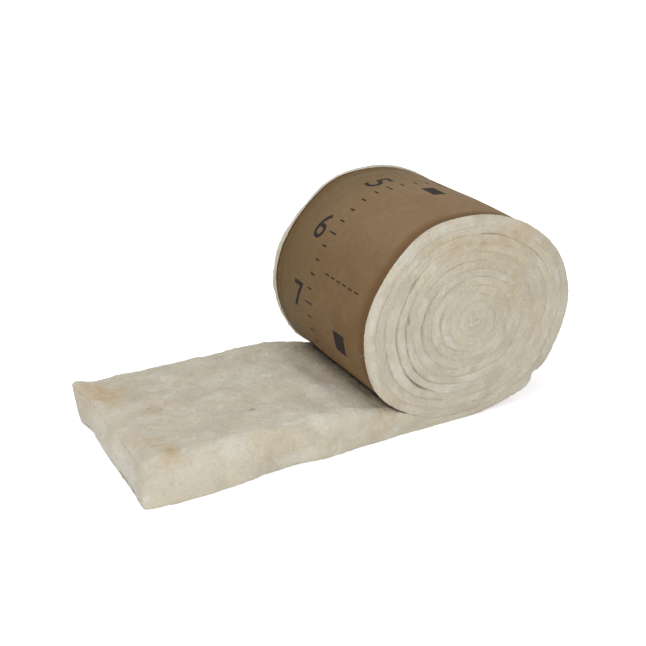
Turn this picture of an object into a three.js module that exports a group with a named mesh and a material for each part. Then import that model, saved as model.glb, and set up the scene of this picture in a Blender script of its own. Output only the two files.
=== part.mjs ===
// A kraft-faced glass-wool insulation roll with its outer end pulled out flat.
// Millimetres, +Z up. X runs along the blanket, with the released tail towards -X, and Y runs across its width.
// The blanket and its facing are both strips: every surface is lofted through the same stations along the strip,
// first along the flat tail and then round and round the winding, so that neighbouring turns share their edges.
import * as THREE from "three";
import { mergeGeometries, mergeVertices } from "three/addons/utils/BufferGeometryUtils.js";

// The blanket
const blanketWidth = 381;
const tailLoft = 77; // thickness of the released tail, once the wool has risen
const tailLength = 678; // from the roll's lowest line to the free end
const recoveryLength = 130; // stretch beside the roll over which the wool rises
const edgeCrown = 7; // how far each turn's wool swells out between its seams
const tailEndCrown = 6; // the same swelling on the free end
const edgeRounding = 8; // how far the tail's upper edges lie below its crest

// The winding
const rollTurns = 12.75;
const rollHalfSpan = 248; // half the roll's width as it lies, wider than high because it sags
const rollHalfHeight = 220;
// Where the hand-wound roll bulges (+) or is pressed in (-): degrees from its lowest line, size and half spread
const swells = [
  { at: 38, by: 4.5, spread: 18 },
  { at: 70, by: -7, spread: 14 },
  { at: 144, by: -11.5, spread: 29 },
  { at: 204, by: 7, spread: 15 },
  { at: 316, by: 9, spread: 24 },
];
const footSpread = 14; // degrees on each side of the lowest line, where the floor keeps the roll from swelling
const nipAngle = THREE.MathUtils.degToRad(40); // from the lowest line back to where the tail parts from the roll

// The kraft facing
const facingWidth = 353;
const paperThickness = 0.6;
const flangeWidth = 25; // stapling flange, folded back flat along each edge
const facingSetback = 10; // wool beyond the facing at the free end
const tuckAngle = THREE.MathUtils.degToRad(20); // from the lowest line back to where the facing ends, in the slit

// Clearances
const bedClearance = 0.3; // between the facing and the wool it is bedded in
const slitGap = 0.6; // between the tail and the turn that lies on it

// How finely the curves are divided
const stepsToNip = 32;
const stepsInSlit = 2;
const stepsPastTuck = 2;
const tailStep = 40;

const fullTurn = 2 * Math.PI;
const flangeThickness = 2 * paperThickness; // the sheet and its folded edge
const bedDepth = flangeThickness + bedClearance;
const halfWidth = blanketWidth / 2;
const halfFacing = facingWidth / 2;
const halfBed = halfFacing + bedClearance;

// Where a cut through one turn is sampled, from its outer face to its inner one, and how far it swells there
const acrossTurn = [
  { share: 0, swell: 0 },
  { share: 0.15, swell: 0.75 },
  { share: 0.5, swell: 1 },
  { share: 0.85, swell: 0.75 },
  { share: 1, swell: 0 },
];

// ---- The strip's path, seen from its near end: x, and height as y ----

// A bell curve round an angle, in degrees, that meets itself after a full turn.
function bell(degrees, at, spread) {
  const apart = THREE.MathUtils.euclideanModulo(degrees - at + 180, 360) - 180;
  return Math.exp(-((apart / spread) ** 2));
}

// How far a turn swells beyond its ellipse, in millimetres on the outer turn.
function swellAt(angle) {
  const degrees = THREE.MathUtils.radToDeg(angle);
  const sum = swells.reduce((total, { at, by, spread }) => total + by * bell(degrees, at, spread), 0);
  return sum * (1 - bell(degrees, 0, footSpread));
}

// A turn's outer face at an angle from the roll's lowest line. It grows round the roll and inwards, to the centre.
function windingPoint(angle) {
  const woundShare = Math.max(0, 1 - angle / (fullTurn * rollTurns));
  const reach = woundShare * (1 + swellAt(angle) / rollHalfSpan);
  return new THREE.Vector2(
    rollHalfSpan * reach * Math.sin(angle),
    rollHalfHeight * (1 - reach * Math.cos(angle)),
  );
}

// The unit normal of the outer face, pointing into the wool.
function windingNormal(angle) {
  const span = 1e-4;
  const tangent = windingPoint(angle + span).sub(windingPoint(Math.max(0, angle - span)));
  return new THREE.Vector2(-tangent.y, tangent.x).normalize();
}

// Evenly spaced values that start at from and stop one step short of to.
function evenSteps(from, to, count) {
  return Array.from({ length: count }, (_, i) => from + ((to - from) * i) / count);
}

const nipTurn = fullTurn - nipAngle;
const tuckTurn = fullTurn - tuckAngle;
const bedEndTurn = tuckTurn + (2 * bedClearance) / rollHalfSpan; // end wall of the facing's bed, just past the facing

// The angles of one turn. Every turn repeats them, so a turn's inner edge is the next turn's outer edge.
const turnAngles = [
  ...evenSteps(0, nipTurn, stepsToNip),
  ...evenSteps(nipTurn, tuckTurn, stepsInSlit),
  tuckTurn,
  ...evenSteps(bedEndTurn, fullTurn, stepsPastTuck),
];

// The slit narrows to nothing between the facing's end and the roll's lowest line.
function slitPoint(angle) {
  const open = Math.min(1, (fullTurn - angle) / (fullTurn - bedEndTurn));
  return windingPoint(angle).addScaledVector(windingNormal(angle), -slitGap * open);
}

const nip = slitPoint(nipTurn);

// How far the wool has risen beside the roll: none at the nip, 1 where it has its full loft.
function recovery(x) {
  return Math.sin((Math.min(1, (nip.x - x) / recoveryLength) * Math.PI) / 2);
}

// ---- Stations along the strip: an outer and an inner point, and the outer face's normal ----
// The tail's stations have a crest too: the height of its top between its two rounded upper edges.

const upwards = new THREE.Vector2(0, 1);
const facingStart = -tailLength + facingSetback;
const bedStart = facingStart - bedClearance;

function tailStation(x, edge, crest) {
  return { outer: new THREE.Vector2(x, 0), inner: new THREE.Vector2(x, edge), crest, normal: upwards };
}

function openStation(x) {
  const crest = nip.y + (tailLoft - nip.y) * recovery(x);
  const edge = crest - edgeRounding * recovery(x);
  return tailStation(x, edge, x === -tailLength ? edge : crest);
}

function windingStation(angle) {
  return {
    angle,
    outer: windingPoint(angle),
    inner: windingPoint(angle + fullTurn),
    normal: windingNormal(angle),
  };
}

function tailStations() {
  const openCount = Math.max(2, Math.round((nip.x - facingStart) / tailStep));
  const open = [-tailLength, bedStart, ...evenSteps(facingStart, nip.x, openCount)];
  const underRoll = [...turnAngles.filter((angle) => angle >= nipTurn), fullTurn];
  return [
    ...open.map(openStation),
    ...underRoll.map(slitPoint).map((top) => tailStation(top.x, top.y, top.y)),
  ];
}

function windingStations() {
  const stations = [];
  for (let turn = 0; turn < rollTurns; turn++)
    stations.push(...turnAngles.map((angle) => windingStation(angle + turn * fullTurn)));
  return [...stations, windingStation(Math.ceil(rollTurns) * fullTurn)];
}

const tail = tailStations();
const winding = windingStations();
const outerTurn = winding.slice(1, turnAngles.length + 1); // the one turn whose outer face shows
const strip = [...tail, ...winding.slice(1)]; // the tail's last station is also the winding's first

// ---- Surfaces ----

// A point at a depth inside a station's outer face.
function faceAt(station, y, depth) {
  const point = station.outer.clone().addScaledVector(station.normal, depth);
  return new THREE.Vector3(point.x, y, point.y);
}

// Quads between neighbouring rows of points.
function loft(rows, reversed = false) {
  const columns = rows[0].length;
  const index = [];
  for (let i = 0; i + 1 < rows.length; i++)
    for (let j = 0; j + 1 < columns; j++) {
      const a = i * columns + j;
      const b = a + columns;
      index.push(a, b, a + 1, b, b + 1, a + 1);
    }
  if (reversed) index.reverse();
  return new THREE.BufferGeometry().setFromPoints(rows.flat()).setIndex(index);
}

// Welds patches into one skin and drops the triangles that a seam or a pole has flattened to a line.
function weld(patches) {
  const skin = mergeVertices(mergeGeometries(patches), 1e-3);
  const corners = Array.from(skin.index.array);
  const kept = [];
  for (let i = 0; i < corners.length; i += 3) {
    const [a, b, c] = corners.slice(i, i + 3);
    if (a !== b && b !== c && c !== a) kept.push(a, b, c);
  }
  skin.setIndex(kept);
  return skin.toNonIndexed();
}

// One cut edge of the blanket. side is -1 for the near end and 1 for the far one. Its spiral seams are the turns.
function cutEdge(side) {
  const rows = strip.map(({ outer, inner }) =>
    acrossTurn.map(({ share, swell }) => {
      const point = outer.clone().lerp(inner, share);
      return new THREE.Vector3(point.x, side * (halfWidth - edgeCrown * (1 - swell)), point.y);
    }),
  );
  return loft(rows, side > 0);
}

const halfSeam = halfWidth - edgeCrown;

// The blanket's outer face, with the shallow bed that the facing lies in.
function outerFace() {
  const across = (station, depth) => [
    faceAt(station, -halfSeam, 0),
    faceAt(station, -halfBed, 0),
    faceAt(station, -halfBed, depth),
    faceAt(station, halfBed, depth),
    faceAt(station, halfBed, 0),
    faceAt(station, halfSeam, 0),
  ];
  const rows = [];
  for (const station of [...tail, ...outerTurn]) {
    const onTail = station.angle === undefined;
    const beforeBed = onTail && station.outer.x < bedStart;
    const pastBed = !onTail && station.angle > bedEndTurn;
    const atWall = (onTail && station.outer.x === bedStart) || station.angle === bedEndTurn;
    if (atWall && onTail) rows.push(across(station, 0));
    rows.push(across(station, beforeBed || pastBed ? 0 : bedDepth));
    if (atWall && !onTail) rows.push(across(station, 0));
  }
  return loft(rows, true);
}

// The wool side of the tail, from the free end to the bottom of the slit.
function tailTopFace() {
  const rows = tail.map(({ inner, crest }) => [
    new THREE.Vector3(inner.x, -halfSeam, inner.y),
    new THREE.Vector3(inner.x, -halfBed, crest),
    new THREE.Vector3(inner.x, halfBed, crest),
    new THREE.Vector3(inner.x, halfSeam, inner.y),
  ]);
  return loft(rows);
}

// The cut end of the tail, swollen between its edges.
function tailEndFace() {
  const { outer, inner } = tail[0];
  const rows = acrossTurn.map(({ share, swell }) => {
    const height = outer.y + (inner.y - outer.y) * share;
    const edge = halfWidth - edgeCrown * (1 - swell);
    const out = outer.x - tailEndCrown * swell;
    return [
      new THREE.Vector3(outer.x, -edge, height),
      new THREE.Vector3(out, -halfBed, height),
      new THREE.Vector3(out, halfBed, height),
      new THREE.Vector3(outer.x, edge, height),
    ];
  });
  return loft(rows);
}

function blanketGeometry() {
  return weld([cutEdge(-1), cutEdge(1), outerFace(), tailTopFace(), tailEndFace()]);
}

// The facing: one sheet with its edges folded back, from the free end round the roll and into the slit.
function facingGeometry() {
  const section = [
    [-halfFacing, 0],
    [-halfFacing + flangeWidth, 0],
    [-halfFacing + flangeWidth, paperThickness],
    [halfFacing - flangeWidth, paperThickness],
    [halfFacing - flangeWidth, 0],
    [halfFacing, 0],
    [halfFacing, flangeThickness],
    [-halfFacing, flangeThickness],
  ];
  const stations = [
    ...tail.filter(({ outer }) => outer.x >= facingStart),
    ...outerTurn.filter(({ angle }) => angle <= tuckTurn),
  ];
  const closed = [...section, section[0]];
  const rows = stations.map((station) => closed.map(([y, depth]) => faceAt(station, y, depth)));
  return weld([
    loft(rows, true),
    sheetEnd(section, rows[0], true),
    sheetEnd(section, rows.at(-1), false),
  ]);
}

// Closes an end of the sheet.
function sheetEnd(section, ring, first) {
  const contour = section.map(([y, depth]) => new THREE.Vector2(y, depth));
  const index = THREE.ShapeUtils.triangulateShape(contour, []).flat();
  if (first) index.reverse();
  return new THREE.BufferGeometry().setFromPoints(ring.slice(0, section.length)).setIndex(index);
}

// ---- The object ----

const glassWool = new THREE.MeshStandardMaterial({ color: 0xd9d0bb, roughness: 1, metalness: 0 });
const kraftPaper = new THREE.MeshStandardMaterial({ color: 0x8f6f52, roughness: 0.75, metalness: 0 });

function namedMesh(name, geometry, material) {
  geometry.computeVertexNormals();
  const mesh = new THREE.Mesh(geometry, material);
  mesh.name = name;
  return mesh;
}

const insulationRoll = new THREE.Group();
insulationRoll.add(
  namedMesh("glass_wool_blanket", blanketGeometry(), glassWool),
  namedMesh("kraft_facing", facingGeometry(), kraftPaper),
);

// The origin is under the middle of the object's box.
const middle = new THREE.Box3().setFromObject(insulationRoll).getCenter(new THREE.Vector3());
insulationRoll.position.x = -middle.x;

export default insulationRoll;
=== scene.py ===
import math

import bmesh
import bpy
import numpy as np
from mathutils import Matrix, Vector


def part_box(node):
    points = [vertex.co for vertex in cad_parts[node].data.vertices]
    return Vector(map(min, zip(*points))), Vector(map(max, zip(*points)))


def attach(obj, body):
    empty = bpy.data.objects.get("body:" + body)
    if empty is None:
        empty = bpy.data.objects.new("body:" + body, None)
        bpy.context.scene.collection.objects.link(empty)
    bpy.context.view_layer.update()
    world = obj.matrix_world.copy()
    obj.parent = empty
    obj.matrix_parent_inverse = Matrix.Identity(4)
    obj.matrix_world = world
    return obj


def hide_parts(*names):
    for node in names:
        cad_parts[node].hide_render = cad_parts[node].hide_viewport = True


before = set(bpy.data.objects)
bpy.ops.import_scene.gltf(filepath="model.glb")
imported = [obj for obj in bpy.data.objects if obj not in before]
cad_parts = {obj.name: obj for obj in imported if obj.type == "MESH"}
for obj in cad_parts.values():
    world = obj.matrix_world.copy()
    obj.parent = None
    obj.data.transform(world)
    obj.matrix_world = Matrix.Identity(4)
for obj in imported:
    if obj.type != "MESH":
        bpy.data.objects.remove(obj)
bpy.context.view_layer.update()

# Insulation roll: a blanket of glass wool wound on itself, its outer end pulled out flat,
# with a brown paper facing on its outer side. Metres, X along the blanket, Y along the roll's axis.

woolLow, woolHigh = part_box("glass_wool_blanket")
facingLow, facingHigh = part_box("kraft_facing")

fullTurn = 2 * math.pi
halfWidth = woolHigh.y
halfFacing = facingHigh.y
paperEdge = {-1: 0.1833, 1: halfFacing}  # from the middle to the paper's edge, near side and far side
tailEndX = woolLow.x

winding = {
    "turns": 12.75,
    "halfSpan": 0.248,
    "halfHeight": 0.220,
    "tailLength": 0.678,  # from the roll's lowest line to the free end of the wool
    "eye": (0.018, -0.009),  # how far the innermost turn lies off the roll's middle
    # where the roll bulges or is pressed in: degrees from its lowest line, size, half spread
    "swells": (
        (38, 0.0045, 18),
        (70, -0.007, 14),
        (144, -0.0115, 29),
        (204, 0.007, 15),
        (316, 0.009, 24),
    ),
    "footSpread": 14,  # half spread in degrees of the stretch that the floor keeps from swelling
    "nipAngle": 40,  # degrees back from the lowest line to where the tail parts from the roll
    "wander": 0.0095,  # how far a seam strays from an even spiral, as a share of the radius
    "wobble": 0.0022,  # the same for its short waves
    "partedTurn": (3.80, 0.16),  # where a seam has come apart, in turns from the outside, and its half spread
    "partedBy": 0.020,  # how much further in that seam lies
    "stepsPerTurn": 480,
    # soft pushes that wool, paper and ink follow alike: place from the roll's lowest line, reach, move.
    # The roll narrows towards its near end.
    "leans": (
        ((-0.220, -0.200, 0.345), (0.110, 0.075, 0.070), (0.0055, 0, 0)),
        ((-0.230, -0.200, 0.110), (0.080, 0.075, 0.070), (-0.0030, 0, 0)),
        ((-0.020, -0.200, 0.430), (0.150, 0.075, 0.120), (0, 0, -0.0050)),
        ((-0.200, -0.190, 0.200), (0.160, 0.060, 0.160), (0, -0.0045, 0)),
        ((-0.250, 0.190, 0.200), (0.100, 0.130, 0.090), (-0.0030, 0, 0)),
        ((-0.190, 0.190, 0.370), (0.080, 0.130, 0.080), (0.0010, 0, -0.0010)),
        ((-0.205, -0.200, 0.090), (0.040, 0.060, 0.040), (0.0032, 0, 0.0010)),
    ),
}
rollX = tailEndX + winding["tailLength"]  # over the roll's lowest line


def bell(value, at, spread):
    # exp(-((value - at) / spread)^2)
    return np.exp(-(((value - at) / spread) ** 2))


def bellRound(degrees, at, spread):
    # the same bell on a circle, in degrees
    return bell((degrees - at + 180) % 360 - 180, 0, spread)


def smooth(value, low, high):
    # 3t^2 - 2t^3, with t running from 0 at low to 1 at high
    t = np.clip((value - low) / (high - low), 0, 1)
    return t * t * (3 - 2 * t)


def cloud(points, cell, seed):
    # random heights from -1 to 1 at the corners of a lattice, blended in between with 3t^2 - 2t^3;
    # the lattice is shifted, so that none of its planes passes through the origin
    table = np.random.default_rng(seed).uniform(-1, 1, (64, 64, 64))
    place = np.asarray(points, float) / np.asarray(cell, float) + 1000.37
    corner = np.floor(place).astype(int)
    t = place - corner
    t = t * t * (3 - 2 * t)
    low, high = corner % 64, (corner + 1) % 64
    value = np.zeros(len(place))
    for dx in (0, 1):
        for dy in (0, 1):
            for dz in (0, 1):
                share = np.where(dx, t[:, 0], 1 - t[:, 0])
                share = share * np.where(dy, t[:, 1], 1 - t[:, 1]) * np.where(dz, t[:, 2], 1 - t[:, 2])
                a, b, c = (np.where(step, high[:, i], low[:, i]) for i, step in enumerate((dx, dy, dz)))
                value += share * table[a, b, c]
    return value


def ripple(value, seed, count=5, lowest=0.4, highest=3.0):
    # a sum of sines of random pitch and phase, mostly between -1 and 1
    rng = np.random.default_rng(seed)
    pitch = rng.uniform(lowest, highest, count)
    phase = rng.uniform(0, fullTurn, count)
    size = rng.uniform(0.5, 1.0, count)
    waves = np.sin(np.multiply.outer(value, pitch) + phase) * size
    return waves.sum(-1) / size.sum() * 1.6


def quads(ids):
    # two triangles for each cell of a grid of vertex numbers
    a, b = ids[:-1, :-1].ravel(), ids[1:, :-1].ravel()
    c, d = ids[1:, 1:].ravel(), ids[:-1, 1:].ravel()
    return np.concatenate([np.stack([a, b, c], 1), np.stack([a, c, d], 1)])


def zipRows(rowA, rowB, alongA=None, alongB=None):
    # triangles between two rows of vertices with different counts: evenly spread, or at the given places
    midA, midB = (
        (np.arange(len(row) - 1) + 0.5) / (len(row) - 1) if along is None else (along[1:] + along[:-1]) / 2
        for row, along in ((rowA, alongA), (rowB, alongB))
    )
    onA = np.stack([rowA[:-1], rowB[np.searchsorted(midB, midA)], rowA[1:]], 1)
    onB = np.stack([rowB[:-1], rowB[1:], rowA[np.searchsorted(midA, midB, side="right")]], 1)
    return np.concatenate([onA, onB])


def cleanTriangles(tris):
    # drops the triangles that a pole or a shared seam has flattened to a line
    a, b, c = tris.T
    return tris[(a != b) & (b != c) & (c != a)]


def vertexNormals(points, tris):
    # the sum of the faces' area vectors round each point, scaled to length 1
    a, b, c = (points[tris[:, i]] for i in range(3))
    area = np.cross(b - a, c - a)
    total = np.zeros_like(points)
    for i in range(3):
        for axis in range(3):
            total[:, axis] += np.bincount(tris[:, i], area[:, axis], len(points))
    return total / np.maximum(np.linalg.norm(total, axis=1, keepdims=True), 1e-12)


def makePiece(name, points, tris, attributes=None, uv=None):
    # one mesh from points and triangles, with values kept on its points
    used, tris = np.unique(cleanTriangles(tris), return_inverse=True)
    tris = tris.reshape(-1, 3)
    mesh = bpy.data.meshes.new(name)
    mesh.vertices.add(len(used))
    mesh.vertices.foreach_set("co", points[used].astype(np.float32).ravel())
    mesh.loops.add(tris.size)
    mesh.loops.foreach_set("vertex_index", tris.astype(np.int32).ravel())
    mesh.polygons.add(len(tris))
    mesh.polygons.foreach_set("loop_start", np.arange(0, tris.size, 3, dtype=np.int32))
    mesh.polygons.foreach_set("use_smooth", np.ones(len(tris), bool))
    mesh.update(calc_edges=True)
    mesh.validate()
    for key, values in (attributes or {}).items():
        values = np.asarray(values)[used]
        kind, field = ("FLOAT", "value") if values.ndim == 1 else ("FLOAT_VECTOR", "vector")
        layer = mesh.attributes.new(key, kind, "POINT")
        layer.data.foreach_set(field, values.astype(np.float32).ravel())
    if uv is not None:
        layer = mesh.uv_layers.new(name="UVMap")
        layer.data.foreach_set("uv", uv[used][tris.ravel()].astype(np.float32).ravel())
    piece = bpy.data.objects.new(name, mesh)
    bpy.context.scene.collection.objects.link(piece)
    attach(piece, "root")
    print(name, len(tris), "triangles")
    return piece


def wander(angle):
    # slow waves that move a seam off the even spiral, none on the outer turn or at the eye
    wound = 1 - angle / (fullTurn * winding["turns"])
    inside = smooth(angle, fullTurn, 1.6 * fullTurn) * smooth(wound, 0.04, 0.2)
    waves = ripple(angle, 11, 7, 0.15, 2.3) * winding["wander"]
    waves = waves + ripple(angle, 12, 12, 6, 60) * winding["wobble"]
    parted = winding["partedBy"] * bell(angle / fullTurn, *winding["partedTurn"])
    return (waves - parted) * inside


def woundShare(angle):
    # how much of the radius is left at this angle: 1 - angle / whole winding, and the seam's wander
    return np.clip(1 - angle / (fullTurn * winding["turns"]) + wander(angle), 0, None)


def windingPoint(angle):
    # outer face of a turn, seen from the near end, at an angle back from its lowest line:
    # x = a r sin(angle), z = b (1 - r cos(angle)), with r shrinking evenly to nothing at the eye
    angle = np.asarray(angle, float)
    degrees = np.degrees(angle)
    swell = sum(by * bellRound(degrees, at, spread) for at, by, spread in winding["swells"])
    swell = swell * (1 - bellRound(degrees, 0, winding["footSpread"]))
    share = woundShare(angle)
    reach = share * (1 + swell / winding["halfSpan"])
    x = rollX + winding["eye"][0] * (1 - share) + winding["halfSpan"] * reach * np.sin(angle)
    z = winding["eye"][1] * (1 - share) + winding["halfHeight"] * (1 - reach * np.cos(angle))
    return np.stack([x, z], -1)


def outwardNormal(angle):
    # unit normal of a turn's outer face, pointing away from the wool
    tangent = windingPoint(angle + 1e-4) - windingPoint(np.maximum(angle - 1e-4, 0))
    tangent /= np.maximum(np.linalg.norm(tangent, axis=-1, keepdims=True), 1e-12)
    return np.stack([tangent[..., 1], -tangent[..., 0]], -1)


def pushed(points, pushes):
    # adds to each point every push, weighed by a bell round the push's place
    moved = np.array(points)
    for place, reach, move in pushes:
        near = np.exp(-(((points - np.array(place) - (rollX, 0, 0)) / reach) ** 2).sum(-1))
        moved = moved + near[..., None] * np.array(move)
    return moved


# the glass wool is one closed skin over the tail, both cut edges and the outer turn
wool = {
    "loft": 0.077,  # height of the tail once it has risen
    "recovery": 0.13,  # the stretch beside the roll over which it rises
    "lip": 0.15,  # the share of the rise that comes at once, close against the roll
    "lipReach": 0.010,
    "slitGap": 0.0012,
    "nipGap": 0.0036,  # how much wider it opens at the nip
    "topRounding": (0.036, 0.009),  # along the near edge and the far one
    "footRounding": (0.004, 0.006),
    "endRounding": 0.007,
    "endFoot": 0.004,  # height of the free end's lower edge
    "endRows": 10,
    "endSwell": 0.003,  # how far the free end stands out in its middle
    "crest": 0.0016,  # how far back from the roll's end the turns lie, on average
    "seamDepth": 0.0021,
    "creaseDepth": 0.0016,
    "seamReach": 0.55,  # the share of a turn's thickness that a seam's valley takes, and its crease
    "creaseReach": 0.13,
    "rimReach": 0.8,  # the same for the outer turn's rounded corner
    "nearSeams": (265, 68),  # where the near end's seams are deep: degrees from the lowest line, half spread
    # a turn pressed in beside the parted seam, and one that stands out past it: turns from the outside,
    # half spread, and how far in or out
    "sunkTurn": (2.80, 0.14, 0.0030),
    "proudTurn": (3.80, 0.16, 0.0030),
    "rimDepth": (0.0040, 0.0080),  # how far the outer turn's corner is rounded off, near and far
    # the share of it that is lost where the roll presses on the tail, and the degrees from the lowest line
    # over which that comes and goes
    "rimPressed": 0.75,
    "pressedFrom": (322, 336),
    "pressedTo": (350, 362),
    # how far that corner swells out past the edge of the paper: everywhere, then where it swells more or
    # less, as degrees from the lowest line, size and half spread
    "nearRim": 0.0032,
    "nearRimSwells": (
        (36, 0.0050, 8),
        (56, 0.0070, 8),
        (72, 0.0070, 10),
        (86, 0.0030, 12),
        (190, -0.0022, 34),
        (262, -0.0020, 45),
    ),
    "farRim": 0.0034,
    "farRimSwells": ((210, -0.0020, 20), (258, 0.0009, 26), (300, -0.0016, 16)),
    "rimLeast": 0.0018,
    "rimClosing": 0.0010,  # how far it swells down onto the tail
    "rimProfile": ((0, 1), (0.35, 1.02), (0.7, 0.9), (1, 0.55)),  # share of the way in, share of the swell
    "rimOverlap": 0.0007,  # how far it lies over the paper's edge
    "rimFoot": 0.0008,  # how far its inner edge is held off the paper
    "rimRagged": (0.0006, 0.0026),  # how far that edge strays, in slow waves and in tufts
    "underPaper": -0.0024,  # height of the wool hidden under the paper
    "underRows": (0.0016, 0.008),  # how far in from the rim's inner edge its first two rows lie
    "grainThrough": 0.018,  # what the fibres' pattern counts as one turn's thickness
    "grainPerTurn": 0.031,  # and how far it moves on through the wool with each turn
    "acrossTurn": (16, 10),  # columns through a turn, on the near end and the far one
    "acrossTail": 128,
    "openRows": 180,
    # creases on the near end that have opened: turns from the outside, half spread, depth
    "partedSeams": (
        (3.88, 0.036, 0.010),
        (3.76, 0.050, 0.003),
        (3.64, 0.018, 0.006),
        (2.46, 0.050, 0.003),
        (2.36, 0.040, 0.003),
        (6.70, 0.100, 0.003),
        (4.82, 0.060, 0.003),
    ),
    # soft pushes that shape the wool: place from the roll's lowest line, reach, move
    "pushes": (
        ((-0.575, -0.190, 0.000), (0.120, 0.05, 0.026), (0, -0.0172, 0)),
        ((-0.680, -0.192, 0.000), (0.030, 0.040, 0.030), (-0.0045, -0.001, 0)),
        ((-0.310, -0.190, 0.010), (0.050, 0.04, 0.04), (0, -0.006, 0)),
        ((-0.240, -0.190, 0.010), (0.040, 0.04, 0.04), (0, 0.003, 0)),
        ((-0.678, 0.195, 0.000), (0.060, 0.05, 0.042), (-0.003, -0.016, 0)),
        ((-0.678, 0.100, 0.000), (0.040, 0.05, 0.200), (0.006, 0, 0)),
        ((-0.678, 0.186, 0.077), (0.018, 0.024, 0.024), (-0.005, 0.004, 0.005)),
        ((-0.684, 0.010, 0.086), (0.034, 0.100, 0.034), (0.012, 0, -0.010)),
        ((-0.684, -0.110, 0.086), (0.034, 0.080, 0.034), (0.012, 0, -0.012)),
        ((-0.684, -0.196, 0.074), (0.036, 0.036, 0.036), (0.012, 0.010, -0.006)),
        ((-0.450, 0.190, 0.078), (0.130, 0.07, 0.050), (0, 0, -0.0025)),
        ((0.146, -0.190, 0.038), (0.020, 0.05, 0.020), (0.0035, 0, -0.0030)),
        ((-0.620, 0.190, 0.078), (0.060, 0.07, 0.050), (0, 0, -0.004)),
        ((-0.240, 0.190, 0.070), (0.070, 0.10, 0.050), (0, 0, -0.0015)),
        ((-0.200, 0.190, 0.060), (0.050, 0.06, 0.050), (0, 0, -0.0022)),
        ((-0.225, -0.200, 0.080), (0.042, 0.052, 0.055), (0, 0, -0.0085)),
        ((-0.230, 0.030, 0.070), (0.025, 0.09, 0.050), (0, 0, -0.006)),
        ((-0.265, -0.070, 0.075), (0.020, 0.07, 0.050), (0, 0, 0.004)),
        ((0.174, -0.190, 0.060), (0.010, 0.03, 0.010), (-0.006, 0.003, 0.004)),
    ),
}


def flare(angle, side):
    # how far a rim of the outer turn swells out past the paper: bells round the roll, times 1 + ripples,
    # fading out to the floor and to the nip, and a little past the nip, where it meets the tail
    degrees = np.degrees(angle)
    which = "nearRim" if side < 0 else "farRim"
    everywhere, swells = wool[which], wool[which + "Swells"]
    size = everywhere + sum(by * bellRound(degrees, at, spread) for at, by, spread in swells)
    size = size * (1 + 0.16 * ripple(angle, 77, 9, 5, 38)) + 0.0006 * ripple(angle, 80, 14, 40, 150)
    size = np.maximum(size, wool["rimLeast"])
    nip = 360 - winding["nipAngle"]
    closing = wool["rimClosing"] * smooth(degrees, nip + 2, nip + 8) * (1 - smooth(degrees, 350, 357))
    return size * smooth(degrees, 4, 18) * (1 - smooth(degrees, nip - 20, nip - 3)) + closing


def seamDepths(angle, side, seed):
    # depth of the valley at a turn's outer seam, and of the narrow crease in it: each an average times
    # 1 + ripples, less near the eye; on the outer turn the valley is the roll's rounded corner instead
    near = side < 0
    degrees = np.degrees(angle)
    turns = angle / fullTurn
    wide = 0.35 + 0.65 * smooth(woundShare(angle), 0.05, 0.4)
    if near:
        wide = wide * (0.12 + 0.95 * bellRound(degrees, *wool["nearSeams"]))
    valley = wool["seamDepth"] * np.clip(1 + 0.7 * ripple(angle, seed, 9, 0.6, 5.5), 0.2, None) * wide
    parting = 0.15 + 1.2 * ripple(angle, seed + 1, 9, 0.5, 4) + 0.5 * ripple(angle, seed + 2, 12, 15, 70)
    crease = wool["creaseDepth"] * np.clip(parting, 0, None) * wide
    if near:
        crease = crease + sum(size * bell(turns, at, spread) for at, spread, size in wool["partedSeams"])
    corner = wool["rimDepth"][0 if near else 1] * (1 + 0.15 * ripple(angle, seed + 5, 9, 9, 40))
    pressed = smooth(degrees, *wool["pressedFrom"]) * (1 - smooth(degrees, *wool["pressedTo"]))
    corner = corner * (1 - wool["rimPressed"] * pressed)
    inside = smooth(turns, 0.99, 1.06)
    return corner + (valley - corner) * inside, crease * inside


def turnProfile(t, angle, side, seed):
    # distance behind the roll's end, over a turn's thickness t: level on the turn, a soft valley
    # (1 - t / 0.55)^2.4 towards the seam on each side, and a narrow crease (1 - t / 0.13)^1.6 in it
    level = wool["crest"] * np.clip(1 + 1.1 * ripple(angle, seed + 3, 7, 0.2, 1.7), 0, None)
    turns = angle / fullTurn
    if side < 0:
        for sign, key in ((1, "sunkTurn"), (-1, "proudTurn")):
            at, spread, depth = wool[key]
            level = level + sign * depth * bell(turns, at, spread)

    def fall(t, reach, power):
        return (1 - np.clip(t / reach, 0, 1)) ** power

    outer = np.where(turns[:, None] < 1, fall(t, wool["rimReach"], 2.4), fall(t, wool["seamReach"], 2.4))
    inner = fall(1 - t, wool["seamReach"], 2.4)
    valley, crease = (depth[:, None] for depth in seamDepths(angle, side, seed))
    nextValley, nextCrease = (depth[:, None] for depth in seamDepths(angle + fullTurn, side, seed))
    sink = valley * outer + crease * fall(t, wool["creaseReach"], 1.6)
    sink = sink + nextValley * inner + nextCrease * fall(1 - t, wool["creaseReach"], 1.6)
    sink = sink * smooth(woundShare(angle), 0, 0.09)[:, None]
    nextLevel = np.interp(angle + fullTurn, angle, level)
    both = 0.5 * (level + nextLevel)[:, None]
    behind = level[:, None] * (1 - inner) + both * inner
    return behind + sink, sink


def roundedSide(t, height, lower, upper):
    # a side of the tail: quarter circle, straight wall, quarter circle, as inset and height
    arcs = lower * math.pi / 2, height - lower - upper, upper * math.pi / 2
    along = t * (arcs[0] + arcs[1] + arcs[2])
    first = np.clip(along / arcs[0], 0, 1) * math.pi / 2
    straight = np.clip(along - arcs[0], 0, arcs[1])
    last = np.clip((along - arcs[0] - arcs[1]) / arcs[2], 0, 1) * math.pi / 2
    inset = lower * (1 - np.sin(first)) + upper * (1 - np.cos(last))
    rise = lower * (1 - np.cos(first)) + straight + upper * np.sin(last)
    return inset, rise


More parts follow.
